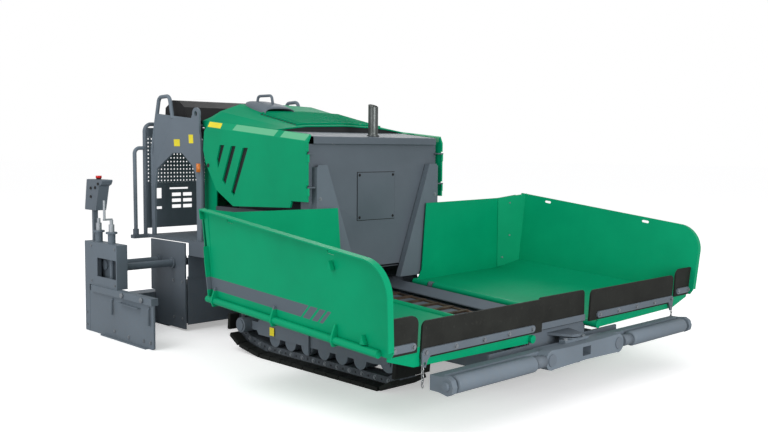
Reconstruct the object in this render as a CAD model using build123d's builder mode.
from build123d import *
from math import atan2, cos, degrees, hypot, pi, radians, sin, tan
import os

os.makedirs("parts", exist_ok=True)

# Compact tracked asphalt paver, in millimetres.
# Origin on the ground under the middle of the machine, +Z up, -Y forwards (hopper end), +X its left side.
# Pieces on the left (+X) side are drawn, and the right side mirrors them.

sheet = 6.0  # pressed and welded plate
fit_gap = 0.3  # seat gap between pieces of different nodes
pin_gap = 0.1  # running clearance of a pin in its bore
moving_gap = 8.0  # least room beside a moving piece

# Tracks
track_centre_x = 575.0
shoe_width = 250.0
shoe_thickness = 22.0
shoe_gap = 6.0
link_pitch_wanted = 98.0
link_width = 96.0
pin_height = 40.0  # height of the link pins over the ground
link_half_height = 20.0
idler_y = -850.0
idler_height = 140.0
sprocket_y = 337.0
sprocket_height = 160.0
idler_pin_radius = idler_height - pin_height
sprocket_pin_radius = 85.0
flat_end_y = 150.0
idler_radius = 60.0
sprocket_radius = 44.0
roller_radius = 48.0
roller_positions = (85.0, -60.0, -205.0, -350.0, -495.0, -640.0)
track_frame_bottom = 112.0
track_frame_top = 200.0
track_frame_half_width = 58.0
track_frame_front = -740.0
track_frame_rear = 232.0
motor_radius = 46.0

# Chassis
longeron_x = 360.0
longeron_thickness = 15.0
longeron_bottom = 130.0
longeron_low_top = 270.0
longeron_step_y = -140.0  # behind the wings the side beams stand higher
longeron_top = 480.0
chassis_front = -1420.0
chassis_rear = 1060.0
engine_bay_half_width = 500.0
engine_bay_floor = 484.0
engine_bay_front = -89.0
engine_bay_rear = 865.0
engine_bay_sill = 830.0

# Hopper: both wings tilt forwards with their hinge lines
hopper_slope = 3.4
hinge_x = 280.0
hinge_front_y = -1480.0
hinge_front_z = 305.0
hinge_tube_radius = 20.0
hinge_pin_radius = 12.0
hinge_lug_places = (-1380.0, -300.0)
hinge_lug_thickness = 30.0
wing_crease_x = 1085.0
wing_corner_x = 1240.0
wing_crease_rise = 16.0
wing_corner_rise = 65.0
wing_wall_lean = 5.6
wing_floor_front = -1470.0
rim_width = 26.0
rim_thickness = 7.0
bottom_pipe_radius = 17.0
rear_wall_left_y = -154.0
rear_wall_stagger = 20.0
rear_wall_top = 868.0
rear_wall_inner_x = 378.0
flap_thickness = 10.0
bar_thickness = 8.0
bar_height = 34.0
flap_inner_x = 205.0
flap_outer_x = 1052.0
flap_bottom = 330.0
flap_top = 492.0
centre_flap_front = -1458.0
centre_flap_half_width = 193.0

# Conveyor
trough_half_width = 250.0
trough_depth = 75.0
trough_seat_y = 600.0
guard_inner_x = 190.0
slat_pitch = 112.0
slat_count = 22
slat_half_length = 172.0
slat_height = 12.0

# Push rollers
push_pivot_y = -1500.0
push_pin_radius = 18.0
push_hub_radius = 50.0
push_beam_bottom = 185.0
push_beam_top = 268.0
push_axis_y = -1590.0
push_axis_z = 226.0
push_roller_radius = 38.5
push_roller_inner = 420.0
push_roller_outer = 970.0
push_shaft_radius = 12.0
push_arm_outer = 1016.0
push_lobe_x = 288.0

# Augers
auger_y = 1180.0
auger_z = 185.0
auger_radius = 82.0
auger_shaft_radius = 20.0
auger_stub_radius = 10.0
auger_inner = 26.0
auger_outer = 560.0
auger_flight_count = 6
auger_flight_tilt = 24.0
housing_half_width = 585.0
housing_front = 1070.0
housing_top = 306.0
housing_rear = 1288.0

# Tower in front of the engine
tower_front = -95.0
tower_half_width = 524.0
tower_top = 1231.0
tower_waist = 860.0
tower_bottom = 500.0
cover_front = -118.0
cover_half_width = 505.0
cover_low = 1274.0
cover_high = 1305.0
cover_rear = 200.0
support_front = -140.0

# Hood
hood_half_width = 560.0
hood_skin = 12.0
hood_front = -125.0
hood_rear = 918.0
hood_shoulder_front = 1243.0
hood_shoulder_rise = 0.0896
shoulder_height = 42.0
shoulder_inset = 21.0
hood_top_gap = 6.0
hood_back = 1010.0
door_knuckles = (960.0, 1150.0)
knuckle_half = 22.0
door_pin_radius = 3.0

# Platform, arches and rear guard
deck_half_width = 585.0
deck_top = 600.0
deck_front = engine_bay_rear + fit_gap
deck_rear = 1600.0
arch_inner_x = 540.0
arch_thickness = 15.0
eye_y = 1012.0
eye_z = 1420.0
eye_bore_radius = 17.5
eye_radius = 40.0
guard_y = 1620.0
guard_tube_radius = 13.5
guard_half_width = 597.0
guard_top = 1360.0
guard_sheet = 4.0
side_rail_x = 660.0
side_rail_top = 1195.0

# Screed
tow_y = 50.0
tow_z = 360.0
tow_arm_x = 270.0
tow_arm_thickness = 25.0
tow_arm_half_height = 30.0
tow_pin_radius = 16.0
tow_arm_clear_x = tow_arm_x + tow_arm_thickness + 25
screed_half_width = 596.0
screed_side = 10.0
screed_front = 1300.0
screed_rear = 1450.0
screed_height = 235.0
side_plate_front = 1070.0
side_plate_rear = 1500.0
side_plate_top = 580.0
extension_front = 1458.0
extension_rear = 1590.0
extension_height = 215.0
extension_inner = 440.0
end_frame_inner = 980.0
end_frame_outer = 1055.0
end_frame_front = 1137.0
end_frame_rear = 1563.0
end_frame_bottom = 310.0
end_frame_top = 590.0
end_plate_front = 700.0
end_plate_rear = 1460.0
end_plate_top = 268.0
guide_tubes = ((1215.0, 440.0), (1400.0, 440.0))  # y, z
guide_tube_radius = 24.0
guide_tube_inner = 400.0
jack_places = (1270.0, 1440.0)
jack_x = 1016.0
post_y = 1522.0
post_x = 1000.0

slope_axis = Axis((0, hinge_front_y, hinge_front_z), (1, 0, 0))


def save(piece, name):
    piece.label = name
    export_step(piece, f"parts/{name}.step")


def save_pair(left_piece, name):
    save(left_piece, f"{name}_left")
    save(mirror(left_piece, about=Plane.YZ), f"{name}_right")


def block(x_low, x_high, y_low, y_high, z_low, z_high, mode=Mode.ADD):
    middle = ((x_low + x_high) / 2, (y_low + y_high) / 2, (z_low + z_high) / 2)
    with Locations(middle):
        Box(x_high - x_low, y_high - y_low, z_high - z_low, mode=mode)


def side_plate(points, x_low, x_high, mode=Mode.ADD):
    # points are (y, z), extruded across the machine
    with BuildSketch(Plane.YZ.offset(x_low)) as profile:
        with BuildLine():
            Polyline(*points, close=True)
        make_face()
    extrude(profile.sketch, amount=x_high - x_low, mode=mode)


def cross_plate(points, y_low, y_high, mode=Mode.ADD):
    # points are (x, z), extruded along the machine
    with BuildSketch(Plane.XZ.offset(-y_high)) as profile:
        with BuildLine():
            Polyline(*points, close=True)
        make_face()
    extrude(profile.sketch, amount=y_high - y_low, mode=mode)


def rod_x(x_low, x_high, y, z, radius, mode=Mode.ADD):
    with BuildSketch(Plane.YZ.offset(x_low)) as profile:
        with Locations((y, z)):
            Circle(radius)
    extrude(profile.sketch, amount=x_high - x_low, mode=mode)


def rod_y(y_low, y_high, x, z, radius, mode=Mode.ADD):
    with BuildSketch(Plane.XZ.offset(-y_high)) as profile:
        with Locations((x, z)):
            Circle(radius)
    extrude(profile.sketch, amount=y_high - y_low, mode=mode)


def rod_z(z_low, z_high, x, y, radius, mode=Mode.ADD):
    with BuildSketch(Plane.XY.offset(z_low)) as profile:
        with Locations((x, y)):
            Circle(radius)
    extrude(profile.sketch, amount=z_high - z_low, mode=mode)


# ---- Track: a closed loop of links with a pad on each ----

def tangent_angle(distance, rise, radius_from, radius_to):
    # direction of the outer tangent from one circle to the next, measured in the y-z plane
    return atan2(rise, distance) + atan2(radius_to - radius_from, distance)


ramp_run = sprocket_y - flat_end_y
ramp_rise = sprocket_height - pin_height
ramp_reach = hypot(ramp_run, ramp_rise)
ramp_angle = atan2(ramp_rise, ramp_run) - atan2(
    sprocket_pin_radius, (ramp_reach**2 - sprocket_pin_radius**2) ** 0.5
)
ramp_length = (ramp_reach**2 - sprocket_pin_radius**2) ** 0.5
centre_run = sprocket_y - idler_y
centre_rise = sprocket_height - idler_height
top_tilt = atan2(centre_rise, centre_run) + atan2(
    sprocket_pin_radius - idler_pin_radius, centre_run
)
top_length = (
    centre_run**2 + centre_rise**2 - (sprocket_pin_radius - idler_pin_radius) ** 2
) ** 0.5
sprocket_sweep = pi - ramp_angle + top_tilt
idler_sweep = pi - top_tilt
flat_length = flat_end_y - idler_y
loop_length = (
    flat_length
    + ramp_length
    + sprocket_sweep * sprocket_pin_radius
    + top_length
    + idler_sweep * idler_pin_radius
)
link_count = round(loop_length / link_pitch_wanted)
link_pitch = loop_length / link_count


def pin_point(station):
    # the pins' path: bottom flat, ramp, sprocket, top run, idler
    if station < flat_length:
        return idler_y + station, pin_height
    station -= flat_length
    if station < ramp_length:
        return flat_end_y + station * cos(ramp_angle), pin_height + station * sin(ramp_angle)
    station -= ramp_length
    if station < sprocket_sweep * sprocket_pin_radius:
        turn = ramp_angle - pi / 2 + station / sprocket_pin_radius
        return (
            sprocket_y + sprocket_pin_radius * cos(turn),
            sprocket_height + sprocket_pin_radius * sin(turn),
        )
    station -= sprocket_sweep * sprocket_pin_radius
    leave = top_tilt + pi / 2
    if station < top_length:
        return (
            sprocket_y + sprocket_pin_radius * cos(leave) - station * cos(top_tilt),
            sprocket_height + sprocket_pin_radius * sin(leave) - station * sin(top_tilt),
        )
    station -= top_length
    turn = leave + station / idler_pin_radius
    return (
        idler_y + idler_pin_radius * cos(turn),
        idler_height + idler_pin_radius * sin(turn),
    )


pins = [pin_point(index * link_pitch) for index in range(link_count)]
links = []  # middle y, middle z, chord length, angle
for index, (start_y, start_z) in enumerate(pins):
    end_y, end_z = pins[(index + 1) % link_count]
    links.append(
        (
            (start_y + end_y) / 2,
            (start_z + end_z) / 2,
            hypot(end_y - start_y, end_z - start_z),
            degrees(atan2(end_z - start_z, end_y - start_y)),
        )
    )

pad_offset = pin_height - shoe_thickness / 2
with BuildPart() as track:
    with BuildSketch(Plane.YZ.offset(track_centre_x - link_width / 2)):
        for middle_y, middle_z, chord, angle in links:
            with Locations(Location((middle_y, middle_z, 0), (0, 0, angle))):
                Rectangle(chord + 8, 2 * link_half_height)
        for start_y, start_z in pins:
            with Locations((start_y, start_z)):
                RegularPolygon(link_half_height * 0.92, 6)
    extrude(amount=link_width)
    with BuildSketch(Plane.YZ.offset(track_centre_x - shoe_width / 2)):
        for middle_y, middle_z, chord, angle in links:
            outwards = radians(angle - 90)
            place_y = middle_y + pad_offset * cos(outwards)
            place_z = middle_z + pad_offset * sin(outwards)
            with Locations(Location((place_y, place_z, 0), (0, 0, angle))):
                Rectangle(link_pitch - shoe_gap, shoe_thickness)
    extrude(amount=shoe_width)
save_pair(track.part, "track")

frame_outer = track_centre_x + track_frame_half_width
frame_inner = track_centre_x - track_frame_half_width
with BuildPart() as track_frame:
    for plate_x in (frame_inner, frame_outer - 10):
        side_plate(
            (
                (track_frame_front, track_frame_bottom),
                (track_frame_front - 130, idler_height - 22),
                (track_frame_front - 130, idler_height + 22),
                (track_frame_front, track_frame_top - 10),
                (track_frame_rear, track_frame_top - 10),
                (track_frame_rear + 40, sprocket_height + 10),
                (track_frame_rear, track_frame_bottom),
            ),
            plate_x,
            plate_x + 10,
        )
    block(frame_inner, frame_outer, track_frame_front, track_frame_rear,
          track_frame_top - 14, track_frame_top)
    for roller_y in roller_positions:
        roller_z = pin_height + link_half_height + roller_radius + fit_gap
        rod_x(frame_inner + 8, frame_outer - 8, roller_y, roller_z, roller_radius)
    rod_x(frame_inner + 8, frame_outer - 8, idler_y, idler_height, idler_radius)
    rod_x(frame_inner + 10, frame_outer + 4, idler_y, idler_height, 14)
    rod_x(track_centre_x - 110, track_centre_x + 112, sprocket_y, sprocket_height, sprocket_radius)
    block(frame_inner, frame_outer, track_frame_rear - 20, sprocket_y, sprocket_height - 25,
          sprocket_height + 25)
    rod_x(track_centre_x + 112, track_centre_x + 118, sprocket_y, sprocket_height, sprocket_radius - 12)
    block(frame_outer, frame_outer + 14, -246, -206, pin_height + link_half_height + 14, track_frame_top)
    for tube_y in (-600.0, 40.0):
        block(longeron_x + longeron_thickness + fit_gap, frame_inner, tube_y - 50, tube_y + 50, 126, 184)
save_pair(track_frame.part, "track_frame")

# ---- Chassis ----


def trough_under(y):
    # height of the sloped trough's underside
    rise = (y - hinge_front_y) * tan(radians(hopper_slope))
    return hinge_front_z + rise - (trough_depth + sheet) / cos(radians(hopper_slope))


with BuildPart() as chassis_half:
    side_plate(
        (
            (chassis_front, longeron_bottom),
            (chassis_front, longeron_low_top - 20),
            (longeron_step_y, longeron_low_top),
            (longeron_step_y + 80, longeron_top),
            (chassis_rear, longeron_top),
            (chassis_rear, longeron_bottom + 120),
            (700, longeron_bottom),
        ),
        longeron_x,
        longeron_x + longeron_thickness,
    )
    for cross_y in hinge_lug_places:
        block(0, longeron_x, cross_y - 20, cross_y + 20, 170, 215)
    block(0, longeron_x, 420, 460, 170, 215)
    block(0, longeron_x, trough_seat_y, trough_seat_y + sheet, 140, 320)
    # seats under the conveyor trough
    block(0, 240, trough_seat_y, trough_seat_y + sheet, 310, trough_under(trough_seat_y) - fit_gap)
    for seat_y in (-1400.0, -640.0, 0.0):
        block(90, 200, seat_y, seat_y + sheet, 170, trough_under(seat_y) - fit_gap)
    # front plate, low beside the centre so that the wings' hinge tubes pass over it
    cross_plate(
        ((0, 150), (545, 205), (545, 262), (236, 262), (205, 400), (0, 400)),
        chassis_front - 12,
        chassis_front,
    )
    block(0, 205, chassis_front, hinge_lug_places[0] - 20, 170, 215)
    for lug_low, lug_high in ((292, 304), (162, 174)):
        with BuildSketch(Plane.XY.offset(lug_low)):
            with BuildLine():
                Polyline((0, push_pivot_y - 62), (40, push_pivot_y - 48), (66, push_pivot_y),
                         (92, chassis_front - 10), (0, chassis_front - 10), close=True)
            make_face()
        extrude(amount=lug_high - lug_low)
    for plate_y in (-600.0, 40.0):
        block(0, longeron_x, plate_y - 40, plate_y + 40, 136, 174)
    # tow pin bosses inside the side beams
    rod_x(tow_arm_x + tow_arm_thickness + moving_gap, longeron_x, tow_y, tow_z, tow_pin_radius + 14)
    rod_x(tow_arm_x - 12, longeron_x, tow_y, tow_z, tow_pin_radius)
    # platform brackets
    side_plate(((900, longeron_top), (1060, longeron_top), (1060, 594 - fit_gap), (900, 594 - fit_gap)),
               longeron_x, longeron_x + longeron_thickness)
with BuildPart() as hinge_lugs:
    for lug_y in hinge_lug_places:
        rod_y(lug_y - hinge_lug_thickness / 2, lug_y + hinge_lug_thickness / 2, hinge_x,
              hinge_front_z, hinge_tube_radius + 2)
        rod_y(lug_y - 55, lug_y + 55, hinge_x, hinge_front_z, hinge_pin_radius)
with BuildPart() as chassis:
    add(chassis_half.part)
    add(hinge_lugs.part.rotate(slope_axis, hopper_slope))
    for lug_y in hinge_lug_places:
        lug_z = hinge_front_z + (lug_y - hinge_front_y) * tan(radians(hopper_slope))
        block(hinge_x - 18, hinge_x + 18, lug_y - 13, lug_y + 13, 172, lug_z)
    mirror(about=Plane.YZ)
    rod_z(163, 303, 0, push_pivot_y, push_pin_radius)
save(chassis.part, "chassis")

with BuildPart() as engine_bay:
    side_plate(
        (
            (engine_bay_front, engine_bay_floor),
            (engine_bay_rear, engine_bay_floor),
            (engine_bay_rear, engine_bay_sill),
            (engine_bay_front, engine_bay_sill),
        ),
        engine_bay_half_width - sheet,
        engine_bay_half_width,
    )
    block(0, engine_bay_half_width, engine_bay_front, engine_bay_rear, engine_bay_floor,
          engine_bay_floor + sheet)
    block(0, engine_bay_half_width, engine_bay_rear - sheet, engine_bay_rear, engine_bay_floor,
          engine_bay_sill)
    mirror(about=Plane.YZ)
save(engine_bay.part, "engine_bay")

with BuildPart() as engine_block:
    block(-380, 380, 40, 780, engine_bay_floor + sheet + fit_gap, 1180)
save(engine_block.part, "engine_block")

# ---- Hopper wings ----

wall_foot = Plane(
    origin=(wing_corner_x, 0, hinge_front_z + wing_corner_rise),
    x_dir=(0, 1, 0),
    z_dir=(cos(radians(wing_wall_lean)), 0, -sin(radians(wing_wall_lean))),
)


# outline of the side wall as (y, height up the wall): falling top edge, rounded front corner
with BuildSketch() as wall_outline:
    with BuildLine():
        Polyline((-1376, 396), (-172, 462))
        Polyline((-172, 462), (-212, -8), (-1492, -8), (-1508, 20), (-1508, 240))
        ThreePointArc((-1508, 240), (-1472, 345), (-1376, 396))
    make_face()
with BuildSketch() as wall_rim:
    add(wall_outline.sketch)
    offset(wall_outline.sketch, amount=-rim_thickness, kind=Kind.INTERSECTION, mode=Mode.SUBTRACT)
    with Locations((-800, -40)):
        Rectangle(1500, 130, mode=Mode.SUBTRACT)
    with Locations((-100, 200)):
        Rectangle(190, 420, mode=Mode.SUBTRACT)


def build_wing(rear_wall_y):
    floor_low = hinge_front_z - sheet / 2
    floor_high = hinge_front_z + sheet / 2
    floor_rear = rear_wall_y
    with BuildPart() as flat_wing:
        cross_plate(
            (
                (hinge_x, floor_high),
                (wing_crease_x, floor_high + wing_crease_rise),
                (wing_corner_x, floor_high + wing_corner_rise),
                (wing_corner_x + 5, floor_low + wing_corner_rise),
                (wing_crease_x, floor_low + wing_crease_rise),
                (hinge_x, floor_low),
            ),
            wing_floor_front,
            floor_rear,
        )
        for lug_y in hinge_lug_places:
            half = hinge_lug_thickness / 2 + moving_gap
            block(hinge_x - 30, hinge_x + 34, lug_y - half, lug_y + half, 250, 360, mode=Mode.SUBTRACT)
        front_stop = hinge_lug_places[0] - hinge_lug_thickness / 2 - moving_gap
        rear_start = hinge_lug_places[1] + hinge_lug_thickness / 2 + moving_gap
        tube_ends = (
            (wing_floor_front - 18, front_stop),
            (hinge_lug_places[0] + hinge_lug_thickness / 2 + moving_gap,
             hinge_lug_places[1] - hinge_lug_thickness / 2 - moving_gap),
            (rear_start, floor_rear),
        )
        for tube_low, tube_high in tube_ends:
            rod_y(tube_low, tube_high, hinge_x, hinge_front_z, hinge_tube_radius)
        for lug_y in hinge_lug_places:
            rod_y(lug_y - 60, lug_y + 60, hinge_x, hinge_front_z, hinge_pin_radius + pin_gap,
                  mode=Mode.SUBTRACT)
        # front lip that carries the rubber flaps
        cross_plate(
            (
                (hinge_x + 14, hinge_front_z - 22),
                (wing_crease_x, hinge_front_z - 8),
                (wing_corner_x, hinge_front_z + wing_corner_rise - 26),
                (wing_corner_x, hinge_front_z + wing_corner_rise + 70),
                (wing_crease_x, hinge_front_z + 76),
                (hinge_x + 14, hinge_front_z + 60),
            ),
            wing_floor_front,
            wing_floor_front + sheet,
        )
        with BuildSketch(wall_foot):
            add(wall_outline.sketch)
        extrude(amount=sheet)
        with BuildSketch(wall_foot):
            add(wall_rim.sketch)
        extrude(amount=sheet + rim_width)
        with BuildSketch(wall_foot):
            for slot_y, slot_height in ((-401, 424), (-1140, 383)):
                with Locations(Location((slot_y, slot_height, 0), (0, 0, 3.1))):
                    SlotOverall(50, 15)
        extrude(amount=sheet, mode=Mode.SUBTRACT)
        rod_y(-1437, -190, wing_corner_x + 21, hinge_front_z + wing_corner_rise + 2, bottom_pipe_radius)
        for rib_y in (-252.0, -735.0, -1162.0):
            cross_plate(
                (
                    (wing_corner_x, 344),
                    (wing_corner_x + 32, 344),
                    (wing_corner_x + 44, 366),
                    (wing_corner_x + 40, 392),
                    (wing_corner_x + 22, 440),
                    (wing_corner_x + 8, 440),
                ),
                rib_y - 5,
                rib_y + 5,
            )
    with BuildPart() as wing:
        add(flat_wing.part.rotate(slope_axis, hopper_slope))
        rise = (rear_wall_y - hinge_front_y) * tan(radians(hopper_slope)) + hinge_front_z
        cross_plate(
            (
                (hinge_x + 18, rise + 1),
                (wing_crease_x, rise + wing_crease_rise),
                (wing_corner_x, rise + wing_corner_rise),
                (wing_corner_x + 41, rear_wall_top + 24),
                (wing_crease_x, rear_wall_top + 8),
                (rear_wall_inner_x, rear_wall_top),
                (hinge_x + 62, 450),
            ),
            rear_wall_y - sheet,
            rear_wall_y,
        )
    return wing.part


left_wing = build_wing(rear_wall_left_y)
right_wing = mirror(build_wing(rear_wall_left_y - rear_wall_stagger), about=Plane.YZ)
save(left_wing, "hopper_wing_left")
save(right_wing, "hopper_wing_right")

with BuildPart() as flat_flaps:
    with BuildSketch(Plane.XZ.offset(-wing_floor_front)):
        with BuildLine():
            Polyline((flap_inner_x, flap_bottom), (flap_outer_x, flap_bottom),
                     (flap_outer_x, flap_top), (flap_inner_x, flap_top), close=True)
        make_face()
        fillet(vertices().group_by(Axis.Y)[-1], radius=28)
        with BuildLine():
            Polyline((1078, 362), (wing_corner_x - 2, 362), (wing_corner_x + 10, 522),
                     (1078, 522), close=True)
        make_face()
        fillet(vertices().group_by(Axis.Y)[-1].sort_by(Axis.X)[0], radius=40)
    extrude(amount=flap_thickness)
with BuildPart() as flaps:
    add(flat_flaps.part.rotate(slope_axis, hopper_slope))
save_pair(flaps.part, "hopper_flaps")

bar_rear = wing_floor_front - flap_thickness
with BuildPart() as flat_bars:
    with BuildSketch(Plane.XZ.offset(-bar_rear)):
        with Locations(((268 + 1052) / 2, 357)):
            SlotOverall(1052 - 268, bar_height)
        with BuildLine():
            Polyline((1004, 362), (1056, 358), (1050, 298), (1028, 290), (1018, 322), (1000, 342), close=True)
        make_face()
        with Locations((1036, 308)):
            Circle(8, mode=Mode.SUBTRACT)
        with Locations(((1092 + wing_corner_x - 4) / 2, 392)):
            SlotOverall(wing_corner_x - 4 - 1092, bar_height)
    extrude(amount=bar_thickness)
with BuildPart() as bars:
    add(flat_bars.part.rotate(slope_axis, hopper_slope))
save_pair(bars.part, "flap_bars")

with BuildPart() as centre_flap:
    with BuildSketch(Plane.XZ.offset(-(centre_flap_front + flap_thickness))):
        with Locations((0, (flap_bottom + flap_top) / 2)):
            Rectangle(2 * centre_flap_half_width, flap_top - flap_bottom)
        fillet(vertices().group_by(Axis.Y)[-1], radius=20)
    extrude(amount=flap_thickness)
save(centre_flap.part, "centre_flap")

with BuildPart() as centre_bar:
    block(-centre_flap_half_width, centre_flap_half_width, centre_flap_front - sheet, centre_flap_front,
          flap_bottom + 4, flap_bottom + 36)
    block(-centre_flap_half_width, centre_flap_half_width, centre_flap_front + flap_thickness,
          chassis_front - 12, flap_bottom + 4, flap_bottom + 50)
save(centre_bar.part, "centre_flap_bar")

# ---- Conveyor ----

trough_front = chassis_front + fit_gap
trough_rear = 1085.0
trough_floor = hinge_front_z - trough_depth
with BuildPart() as flat_trough:
    block(0, trough_half_width, trough_front, trough_rear, trough_floor - sheet, trough_floor)
    cross_plate(
        (
            (trough_half_width - sheet, trough_floor - sheet),
            (trough_half_width, trough_floor - sheet),
            (trough_half_width, hinge_front_z - 6),
            (guard_inner_x, hinge_front_z - 46),
            (guard_inner_x, hinge_front_z - 52),
            (trough_half_width - sheet, hinge_front_z - 16),
        ),
        trough_front,
        trough_rear,
    )
    mirror(about=Plane.YZ)
with BuildPart() as trough:
    add(flat_trough.part.rotate(slope_axis, hopper_slope))
save(trough.part, "conveyor_trough")

with BuildPart() as flat_chain:
    slat_low = trough_floor + fit_gap
    for index in range(slat_count):
        slat_y = trough_front + 60 + index * slat_pitch
        block(-slat_half_length, slat_half_length, slat_y - 11, slat_y + 11, slat_low,
              slat_low + slat_height)
    for strand_x in (-slat_half_length, slat_half_length - 24):
        block(strand_x, strand_x + 24, trough_front + 30, trough_rear - 30, slat_low, slat_low + 8)
with BuildPart() as chain:
    add(flat_chain.part.rotate(slope_axis, hopper_slope))
save(chain.part, "conveyor_chain")

# ---- Push roller beam ----

with BuildPart() as push_half:
    with BuildSketch(Plane.XZ.offset(-(push_axis_y + 42))):
        with BuildLine():
            Polyline((0, push_beam_bottom), (push_lobe_x, 178), (push_lobe_x, 272), (150, push_beam_top),
                     (0, push_beam_top), close=True)
        make_face()
        with Locations((push_lobe_x, 224)):
            Circle(48)
        with Locations((0, 228)):
            Rectangle(70, 44, mode=Mode.SUBTRACT)
    extrude(amount=58)
    block(0, 100, push_axis_y + 42, push_pivot_y - 10, 190, 280)
    block(push_lobe_x - 40, push_arm_outer, push_axis_y + 42, push_pivot_y, 195, 262)
    block(80, push_lobe_x, push_axis_y + 42, push_pivot_y + 10, 195, 262)
    side_plate(
        (
            (push_axis_y + 42, 195),
            (push_axis_y - 10, 186),
            (push_axis_y - 34, 200),
            (push_axis_y - 40, push_axis_z),
            (push_axis_y - 30, 254),
            (push_axis_y - 4, 268),
            (push_axis_y + 42, 262),
        ),
        push_roller_outer + 16,
        push_arm_outer,
    )
    rod_x(push_lobe_x + 40, push_arm_outer + 12, push_axis_y, push_axis_z, push_shaft_radius)
    rod_x(push_arm_outer, push_arm_outer + 10, push_axis_y, push_axis_z, 20)
with BuildPart() as push_beam:
    add(push_half.part)
    mirror(about=Plane.YZ)
    rod_z(182, 284, 0, push_pivot_y, push_hub_radius)
    rod_z(150, 320, 0, push_pivot_y, push_pin_radius + pin_gap, mode=Mode.SUBTRACT)
save(push_beam.part, "push_beam")

with BuildPart() as push_roller:
    rod_x(push_roller_inner, push_roller_outer, push_axis_y, push_axis_z, push_roller_radius)
    chamfer(push_roller.edges().filter_by(GeomType.CIRCLE), 7)
    rod_x(push_roller_inner, push_roller_outer, push_axis_y, push_axis_z,
          push_shaft_radius + pin_gap, mode=Mode.SUBTRACT)
save_pair(push_roller.part, "push_roller")

# ---- Augers in their housing ----

with BuildPart() as auger_housing:
    cross_plate(
        ((0, 40), (housing_half_width, 40), (housing_half_width, 360), (tow_arm_clear_x, 360),
         (tow_arm_clear_x, 308), (0, 308)),
        housing_front,
        housing_front + 8,
    )
    block(trough_half_width, longeron_x + longeron_thickness, housing_front + 8, housing_rear,
          housing_top - sheet, housing_top)
    block(longeron_x, housing_half_width, housing_front + 8, housing_rear, housing_top - sheet, housing_top)
    block(0, trough_half_width, 1210, housing_rear, housing_top - sheet, housing_top)
    block(housing_half_width - 8, housing_half_width, housing_front + 8, 1230, 60, housing_top)
    rod_x(auger_outer - 50, housing_half_width, auger_y, auger_z, auger_stub_radius)
    block(0, auger_inner - 8, auger_y - 40, auger_y + 40, auger_z - 45, housing_top)
    rod_x(0, auger_inner + 44, auger_y, auger_z, auger_stub_radius)
    side_plate(((chassis_rear + fit_gap, 300), (housing_front, 300), (housing_front, 360),
                (chassis_rear + fit_gap, 360)), longeron_x, longeron_x + longeron_thickness)
    mirror(about=Plane.YZ)
save(auger_housing.part, "auger_housing")

with BuildPart() as flight:
    with BuildSketch():
        RegularPolygon(auger_radius, 20)
    extrude(amount=4, both=True)
with BuildPart() as auger:
    rod_x(auger_inner, auger_outer, auger_y, auger_z, auger_shaft_radius)
    first = auger_inner + 60
    step = (auger_outer - auger_inner - 120) / (auger_flight_count - 1)
    for index in range(auger_flight_count):
        with Locations(Location((first + index * step, auger_y, auger_z), (0, 90, 0))):
            with Locations(Location((0, 0, 0), (auger_flight_tilt, 0, 0))):
                add(flight.part)
    for bore_low, bore_high in ((auger_inner, auger_inner + 50), (auger_outer - 56, auger_outer)):
        rod_x(bore_low, bore_high, auger_y, auger_z, auger_stub_radius + pin_gap, mode=Mode.SUBTRACT)
save_pair(auger.part, "auger")

# ---- Tower, cover, supports ----

with BuildPart() as tower:
    cross_plate(
        (
            (0, tower_bottom),
            (300, tower_bottom),
            (tower_half_width - 30, tower_waist - 120),
            (tower_half_width, tower_waist),
            (tower_half_width, tower_top),
            (0, tower_top),
        ),
        tower_front,
        tower_front + sheet,
    )
    block(tower_half_width - sheet, tower_half_width, tower_front, tower_front + 70, tower_waist, tower_top)
    block(0, tower_half_width, tower_front, tower_front + 70, tower_top - sheet, tower_top)
    mirror(about=Plane.YZ)
    # door hinge brackets with their pins
    for knuckle_z in door_knuckles:
        for side in (-1, 1):
            low_x, high_x = sorted((side * 505, side * 543))
            bracket_z = knuckle_z + knuckle_half + fit_gap
            block(low_x, high_x, hood_front - 9, tower_front + 4, bracket_z, bracket_z + 8)
            low_x, high_x = sorted((side * 530, side * (hood_half_width - 3)))
            block(low_x, high_x, hood_front - 9, hood_front - 1, bracket_z, bracket_z + 8)
            rod_z(knuckle_z - knuckle_half, bracket_z + 4, side * (hood_half_width - 8), hood_front - 2,
                  door_pin_radius)
    # service cover plate on the face
    cross_plate(((-152, 782), (152, 782), (152, 1064), (-152, 1064)), tower_front - 5, tower_front)
save(tower.part, "tower_panel")

with BuildPart() as tower_cover:
    side_plate(
        (
            (cover_front, tower_top + fit_gap),
            (cover_front + sheet, tower_top + fit_gap),
            (cover_front + sheet, cover_low - sheet),
            (cover_rear, cover_high - sheet),
            (cover_rear, cover_high),
            (cover_front + 4, cover_low),
            (cover_front, cover_low - 6),
        ),
        -cover_half_width,
        cover_half_width,
    )
    for rib_x in (-300, 294):
        block(rib_x, rib_x + sheet, tower_front + 4, tower_front + 60, tower_top + fit_gap, 1276)
save(tower_cover.part, "tower_cover")

with BuildPart() as support:
    cross_plate(
        ((170, 420), (500, 420), (500, 1090), (486, 1113), (424, 1113)),
        support_front,
        support_front + sheet,
    )
    cross_plate(
        ((170, 420), (178, 420), (432, 1113), (424, 1113)),
        support_front,
        tower_front - 5.5,
    )
    block(494, 500, support_front, tower_front - fit_gap, tower_waist, 1100)
    cross_plate(((300, tower_bottom), (308, tower_bottom), (452, 1080), (444, 1080)),
                support_front, tower_front - fit_gap)
save_pair(support.part, "tower_support")

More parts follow.
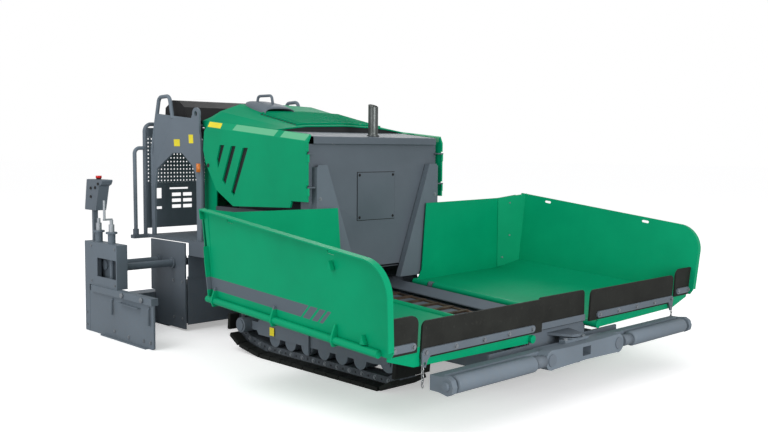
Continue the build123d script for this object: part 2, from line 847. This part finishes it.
with BuildPart() as exhaust:
    rod_z(cover_low + 2, 1500, 20, -45, 30)
    rod_z(cover_low + 20, 1500, 20, -45, 26, mode=Mode.SUBTRACT)
    side_plate(((-120, 1440), (-120, 1560), (60, 1560), (60, 1500)), -60, 100, mode=Mode.SUBTRACT)
    with BuildSketch(Plane.XY.offset(cover_low + 4)):
        with Locations((20, -45)):
            Circle(38)
    extrude(amount=10)
    side_plate(((-120, cover_low), (60, cover_low + 17), (60, 1200), (-120, 1200)), -60, 100,
               mode=Mode.SUBTRACT)
save(exhaust.part, "exhaust_pipe")

# ---- Hood ----


def shoulder(y):
    return hood_shoulder_front + hood_shoulder_rise * (y - hood_front)


vents = (  # top rear, top front, bottom front, bottom rear as (y, z)
    ((733, 1220), (682, 1220), (752, 1073), (766, 1130)),
    ((612, 1215), (560, 1215), (674, 973), (708, 1003)),
    ((488, 1205), (433, 1205), (580, 909), (612, 932)),
)
with BuildPart() as hood_door:
    side_plate(
        (
            (hood_front, 905),
            (15, 905),
            (28, 866),
            (590, 846),
            (775, 940),
            (893, 1110),
            (hood_rear, 1190),
            (hood_rear - 12, shoulder(hood_rear) - 30),
            (hood_rear - 36, shoulder(hood_rear - 36)),
            (hood_front, shoulder(hood_front)),
        ),
        hood_half_width - hood_skin,
        hood_half_width,
    )
    with BuildSketch(Plane.XZ.offset(-hood_front)):
        with BuildLine():
            Polyline(
                (hood_half_width, shoulder(hood_front)),
                (hood_half_width - shoulder_inset, shoulder(hood_front) + shoulder_height),
                (hood_half_width - shoulder_inset - 10, shoulder(hood_front) + shoulder_height - 6),
                (hood_half_width - hood_skin, shoulder(hood_front) - 6),
                close=True,
            )
        make_face()
    extrude(amount=hood_rear - 36 - hood_front, dir=(0, 1, hood_shoulder_rise))
    for vent in vents:
        side_plate(vent, hood_half_width - hood_skin, hood_half_width, mode=Mode.SUBTRACT)
    # hinge knuckles on the front edge
    for knuckle_z in door_knuckles:
        rod_z(knuckle_z - knuckle_half, knuckle_z + knuckle_half, hood_half_width - 8, hood_front - 2, 7)
        block(hood_half_width - hood_skin - 1, hood_half_width + 1, hood_front - 1, hood_front + 12,
              knuckle_z + knuckle_half - 1, knuckle_z + knuckle_half + 16, mode=Mode.SUBTRACT)
        with Locations((hood_half_width - 8, hood_front - 2, knuckle_z)):
            Cylinder(door_pin_radius + pin_gap, 2 * knuckle_half + 4, mode=Mode.SUBTRACT)
save_pair(hood_door.part, "hood_door")

top_x = hood_half_width - shoulder_inset - 10 - hood_top_gap
top_sections = (  # y, crown heights over the shoulder at three widths
    (cover_rear + fit_gap, 10.0, 26.0, 34.0),
    (880.0, 62.0, 112.0, 120.0),
    (hood_back, 20.0, 70.0, 78.0),
)
with BuildPart() as hood_top:
    for drop in (0.0, 8.0):
        sections = []
        for full_y, low, middle, high in top_sections:
            section_y = min(full_y, hood_back - drop)
            base = shoulder(min(section_y, 900)) + shoulder_height - drop
            edge_x = top_x - drop if section_y < 1000 else top_x - drop - 20
            with BuildSketch(Plane.XZ.offset(-section_y)) as section:
                with BuildLine():
                    Polyline(
                        (-edge_x, base - 40), (-edge_x, base), (-450, base + low), (-300, base + middle),
                        (0, base + high), (300, base + middle), (450, base + low), (edge_x, base),
                        (edge_x, base - 40), close=True,
                    )
                make_face()
            sections.append(section.sketch)
        if drop == 0.0:
            hood_envelope = loft(sections=sections, ruled=True)
        else:
            with BuildPart(mode=Mode.PRIVATE) as hollow:
                loft(sections=sections, ruled=True)
            add(hollow.part, mode=Mode.SUBTRACT)
    # rear wall and its side returns stand on the platform
    block(-490, 490, hood_back - 8, hood_back, deck_top + fit_gap, shoulder(900) + 30)
    for wall_x in (-490, 482):
        block(wall_x, wall_x + 8, 872, hood_back, deck_top + fit_gap, shoulder(900) + 30)
save(hood_top.part, "hood_top")

with BuildPart() as air_cowl:
    with BuildSketch(Plane.XZ.offset(-640)):
        with BuildLine():
            Polyline((-350, 1390), (-350, 1425), (-300, 1460), (-140, 1468), (-90, 1435), (-90, 1390), close=True)
        make_face()
    with BuildSketch(Plane.XZ.offset(-860)):
        with BuildLine():
            Polyline((-370, 1400), (-370, 1455), (-320, 1505), (-120, 1512), (-70, 1465), (-70, 1400), close=True)
        make_face()
    loft()
    with BuildLine() as handle_path:
        FilletPolyline((-250, 760, 1470), (-235, 760, 1542), (-110, 760, 1542), (-95, 760, 1474), radius=24)
    with BuildSketch(Plane(origin=handle_path.line @ 0, z_dir=handle_path.line % 0)):
        RegularPolygon(9, 12)
    sweep()
    add(hood_envelope.moved(Location((0, 0, fit_gap))), mode=Mode.SUBTRACT)
save(air_cowl.part, "air_cowl")

# ---- Platform, arches, guard ----

with BuildPart() as platform:
    block(0, deck_half_width, deck_front, deck_rear, deck_top - sheet, deck_top)
    block(380, deck_half_width, deck_front, 1058, 500, deck_top - sheet)
    block(deck_half_width - sheet, deck_half_width, 1058, deck_rear, deck_top - 18, deck_top - sheet)
    block(deck_half_width - 40, side_rail_x + 24, 1583, 1634, deck_top - 24, deck_top)
    rod_z(deck_top, deck_top + 40, side_rail_x, 1604, 20)
    mirror(about=Plane.YZ)
save(platform.part, "platform")

with BuildPart() as arch:
    with BuildSketch(Plane.YZ.offset(arch_inner_x)):
        with BuildLine():
            Polyline(
                (952, 600.3), (948, 1000), (958, 1240), (975, 1330), (eye_y - 38, eye_z),
                (eye_y + 38, eye_z), (1066, 1392), (1500, 1430), (1512, 1360), (1560, 1080),
                (1572, 600.3), (1532, 600.3), (1526, 1080), (1440, 1190), (1350, 1296),
                (1290, 1318), (1190, 1318), (1080, 1215), (1010, 1120), (1004, 600.3), close=True,
            )
        make_face()
        with Locations((eye_y, eye_z)):
            Circle(eye_radius)
            Circle(eye_bore_radius, mode=Mode.SUBTRACT)
    extrude(amount=arch_thickness)
    block(arch_inner_x - 30, arch_inner_x + arch_thickness, 1070, 1490, 1380, 1388)
    with BuildLine() as loop_path:
        FilletPolyline(
            (arch_inner_x + 8, 1560, 700), (arch_inner_x + 8, 1566, 1180), (arch_inner_x + 8, 1470, 1540),
            (arch_inner_x + 8, 1340, 1545), (arch_inner_x + 8, 1300, 1395), radius=40,
        )
    with BuildSketch(Plane(origin=loop_path.line @ 0, z_dir=loop_path.line % 0)):
        RegularPolygon(13, 12)
    sweep()
save_pair(arch.part, "lift_arch")

with BuildPart() as rear_guard:
    with BuildLine() as guard_path:
        FilletPolyline(
            (guard_half_width - 20, guard_y, deck_top + fit_gap), (guard_half_width - 20, guard_y, guard_top),
            (20 - guard_half_width, guard_y, guard_top), (20 - guard_half_width, guard_y, deck_top + fit_gap),
            radius=50,
        )
    with BuildSketch(Plane(origin=guard_path.line @ 0, z_dir=guard_path.line % 0)):
        RegularPolygon(guard_tube_radius, 12)
    sweep()
    inner_x = guard_half_width - 20 - guard_tube_radius + 4
    block(-inner_x, inner_x, guard_y - guard_sheet / 2, guard_y + guard_sheet / 2, 640, 955)
    block(-inner_x, inner_x, guard_y - guard_sheet / 2, guard_y + guard_sheet / 2, 1272, 1335)
    for hole_x, hole_z, hole_width, hole_height in (
        (480, 880, 62, 72), (310, 912, 150, 12), (330, 868, 74, 24), (240, 868, 74, 24),
        (330, 826, 74, 24), (240, 826, 74, 24), (330, 784, 74, 24), (240, 784, 74, 24),
        (480, 778, 66, 18), (420, 1304, 110, 26), (230, 1304, 110, 26),
    ):
        for side in (-1, 1):
            block(side * hole_x - hole_width / 2, side * hole_x + hole_width / 2, guard_y - 10,
                  guard_y + 10, hole_z - hole_height / 2, hole_z + hole_height / 2, mode=Mode.SUBTRACT)
save(rear_guard.part, "rear_guard")

mesh_x = guard_half_width - 20 - guard_tube_radius - fit_gap
with BuildPart() as guard_mesh:
    block(-mesh_x, mesh_x, guard_y - guard_sheet / 2, guard_y + guard_sheet / 2, 955 + fit_gap,
          1272 - fit_gap)
save(guard_mesh.part, "perforated_guard")

with BuildPart() as side_rail:
    with BuildLine() as rail_path:
        FilletPolyline(
            (side_rail_x, 1604, deck_top + 40 + fit_gap), (side_rail_x + 4, 1604, side_rail_top),
            (guard_half_width + 2, 1604, side_rail_top), radius=38,
        )
    with BuildSketch(Plane(origin=rail_path.line @ 0, z_dir=rail_path.line % 0)):
        RegularPolygon(13, 12)
    sweep()
save_pair(side_rail.part, "side_rail")

with BuildPart() as console:
    side_plate(
        ((1190, 1382), (1230, 1470), (1300, 1512), (1380, 1520), (1470, 1470), (1478, 1380), (1440, 1362),
         (1250, 1362)),
        -500,
        200,
    )
save(console.part, "control_console")

with BuildPart() as console_stand:
    for arm_x in (-420, 80):
        side_plate(
            ((1010 + fit_gap, 1200), (1010 + fit_gap, 1290), (1280, 1362 - fit_gap), (1360, 1362 - fit_gap),
             (1360, 1340), (1280, 1330)),
            arm_x,
            arm_x + 30,
        )
save(console_stand.part, "console_stand")

# ---- Screed ----

with BuildPart() as screed:
    block(0, screed_half_width, screed_front, screed_rear, 0, screed_height)
    block(0, screed_half_width - 60, screed_front + 12, screed_rear - 12, 14, screed_height - 8,
          mode=Mode.SUBTRACT)
    side_plate(
        ((side_plate_front, 12), (screed_rear, 12), (screed_rear, screed_height), (side_plate_rear, screed_height),
         (side_plate_rear, side_plate_top), (side_plate_front, side_plate_top)),
        screed_half_width,
        screed_half_width + screed_side,
    )
    # tow arm with its hanger
    side_plate(
        (
            (tow_y, tow_z - 36), (tow_y + 200, tow_z - tow_arm_half_height),
            (screed_rear, tow_z - tow_arm_half_height), (screed_rear, tow_z + tow_arm_half_height),
            (tow_y + 200, tow_z + tow_arm_half_height), (tow_y, tow_z + 36),
        ),
        tow_arm_x,
        tow_arm_x + tow_arm_thickness,
    )
    rod_x(tow_arm_x, tow_arm_x + tow_arm_thickness, tow_y, tow_z, 36)
    rod_x(tow_arm_x, tow_arm_x + tow_arm_thickness, tow_y, tow_z, tow_pin_radius + pin_gap,
          mode=Mode.SUBTRACT)
    block(tow_arm_x - 10, tow_arm_x + tow_arm_thickness + 10, screed_front + 10, screed_rear,
          screed_height - 10, tow_z)
    for tube_y, tube_z in guide_tubes:
        rod_x(screed_half_width, screed_half_width + 26, tube_y, tube_z, guide_tube_radius + 12)
        rod_x(screed_half_width, screed_half_width + 26, tube_y, tube_z, guide_tube_radius + pin_gap,
              mode=Mode.SUBTRACT)
    mirror(about=Plane.YZ)
save(screed.part, "screed")

with BuildPart() as extension:
    block(extension_inner, end_frame_inner + 10, extension_front, extension_rear, 0, extension_height)
    block(extension_inner + 30, end_frame_inner - 40, extension_front + 12, extension_rear + 1, 30,
          extension_height - 10, mode=Mode.SUBTRACT)
    # upright box frame with its window
    block(end_frame_inner, end_frame_outer, end_frame_front, end_frame_rear, end_frame_bottom, end_frame_top)
    block(end_frame_inner - 1, end_frame_outer - 8, end_frame_front + 8, end_frame_rear - 60,
          end_frame_bottom + 20, end_frame_top - 14, mode=Mode.SUBTRACT)
    block(end_frame_outer - 10, end_frame_outer + 1, end_frame_front + 10, 1396, 372, 492, mode=Mode.SUBTRACT)
    block(end_frame_inner, end_frame_outer, end_frame_rear - 60, end_frame_rear, 0, end_frame_bottom)
    # end plate and its top beam
    side_plate(
        ((end_plate_front, 8), (end_plate_front + 20, 0), (end_plate_rear + 60, 0),
         (end_plate_rear + 60, end_plate_top), (end_plate_front, end_plate_top)),
        end_frame_outer - 14,
        end_frame_outer - 2,
    )
    block(end_frame_outer - 35, end_frame_outer + 12, end_plate_front, end_plate_rear, end_plate_top,
          end_frame_bottom)
    block(end_frame_outer - 2, end_frame_outer + 22, end_plate_front + 60, end_plate_rear - 140, 0, 8)
    # back plate of the frame, with the guide tubes' flanges, and the jacks' screws inside
    block(end_frame_inner, end_frame_inner + 8, end_frame_front + 4, end_frame_rear - 50,
          end_frame_bottom + 10, end_frame_top - 10)
    for tube_y, tube_z in guide_tubes:
        rod_x(guide_tube_inner, end_frame_inner + 4, tube_y, tube_z, guide_tube_radius)
        rod_x(end_frame_inner + 4, end_frame_inner + 20, tube_y, tube_z, guide_tube_radius + 8)
    for jack_y in jack_places:
        rod_z(end_frame_bottom + 10, end_frame_top - 10, jack_x, jack_y, 14)
save_pair(extension.part, "screed_extension")

with BuildPart() as jacks:
    for jack_y in jack_places:
        rod_z(end_frame_top + fit_gap, 660, jack_x, jack_y, 24)
        rod_z(652, 664, jack_x, jack_y, 36)
        rod_z(664, 712, jack_x, jack_y, 18)
        rod_z(712, 742, jack_x, jack_y, 11)
    block(jack_x - 6, jack_x + 56, jack_places[0] - 6, jack_places[0] + 6, 738, 750)
    rod_z(744, 866, jack_x + 48, jack_places[0], 8)
save_pair(jacks.part, "extension_jacks")

with BuildPart() as control_box:
    block(post_x - 14, post_x + 14, post_y - 14, post_y + 14, end_frame_top + fit_gap, 830)
    side_plate(
        ((1588, 792), (1590, 800), (1560, 985), (1556, 992), (1350, 992), (1346, 984), (1360, 962),
         (1392, 950), (1436, 800), (1440, 792)),
        post_x - 36,
        post_x + 36,
    )
save_pair(control_box.part, "extension_control_box")
